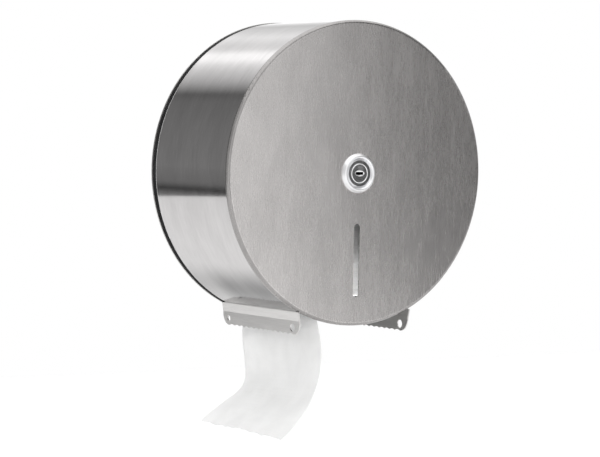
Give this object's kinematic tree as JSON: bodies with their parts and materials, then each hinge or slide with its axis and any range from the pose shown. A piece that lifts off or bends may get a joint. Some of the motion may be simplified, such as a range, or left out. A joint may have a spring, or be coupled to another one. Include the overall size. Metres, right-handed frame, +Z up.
{
  "type": "jumbo toilet roll dispenser",
  "caption": "Round brushed steel wall dispenser for a jumbo toilet roll: pull-off drum cover with a cam lock, sight slot and scalloped tear bars.",
  "frame": {"origin": "on the drum's axis, on the wall plane that the back plate lies against", "axes": "-Y out from the wall to the dispenser's front, +Z up, +X to the right as seen from the front"},
  "size_m": [0.271, 0.1336, 0.3695],
  "materials": {
    "cover_steel": "brushed stainless steel, fine grain",
    "plate_steel": "satin stainless steel",
    "bar_steel": "satin stainless steel, bent and toothed",
    "lock_chrome": "polished chrome plate",
    "zinc_steel": "bright zinc plate",
    "seal_rubber": "matt black rubber ring",
    "hub_nylon": "moulded grey nylon",
    "core_board": "spiral-wound grey-brown board",
    "white_tissue": "soft white two-ply tissue"
  },
  "bodies": {
    "wall_unit": {"back_plate": "plate_steel", "locating_rim": "plate_steel", "cover_seal": "seal_rubber", "axle_flange": "plate_steel", "flange_rivets": "zinc_steel", "axle_tube": "zinc_steel", "axle_plug": "zinc_steel", "rear_hub_washer": "hub_nylon", "front_hub_washer": "hub_nylon", "hub_circlip": "zinc_steel", "strike_cup": "plate_steel", "strike_screw": "zinc_steel", "paper_tail": "white_tissue"},
    "roll": {"roll_hub": "hub_nylon", "roll_core": "core_board", "paper_roll": "white_tissue"},
    "cover": {"front_panel": "cover_steel", "drum_band": "cover_steel", "left_tear_bar": "bar_steel", "right_tear_bar": "bar_steel", "lock_rose": "lock_chrome", "lock_housing": "lock_chrome", "lock_washer": "zinc_steel", "lock_nut": "zinc_steel"},
    "key_plug": {"lock_plug": "lock_chrome", "lock_cam": "zinc_steel", "cam_screw": "zinc_steel"}
  },
  "joints": [
    {"name": "roll_spin", "type": "hinge", "parent": "wall_unit", "child": "roll", "pos_m": [0, -0.05, 0], "axis": [0, 1, 0], "continuous": true},
    {"name": "cover_pull", "type": "slide", "parent": "wall_unit", "child": "cover", "axis": [0, -1, 0], "range_m": [0, 0.15]},
    {"name": "lock_turn", "type": "hinge", "parent": "cover", "child": "key_plug", "pos_m": [0, -0.12, 0], "axis": [0, 1, 0], "range_deg": [0, 90]}
  ]
}
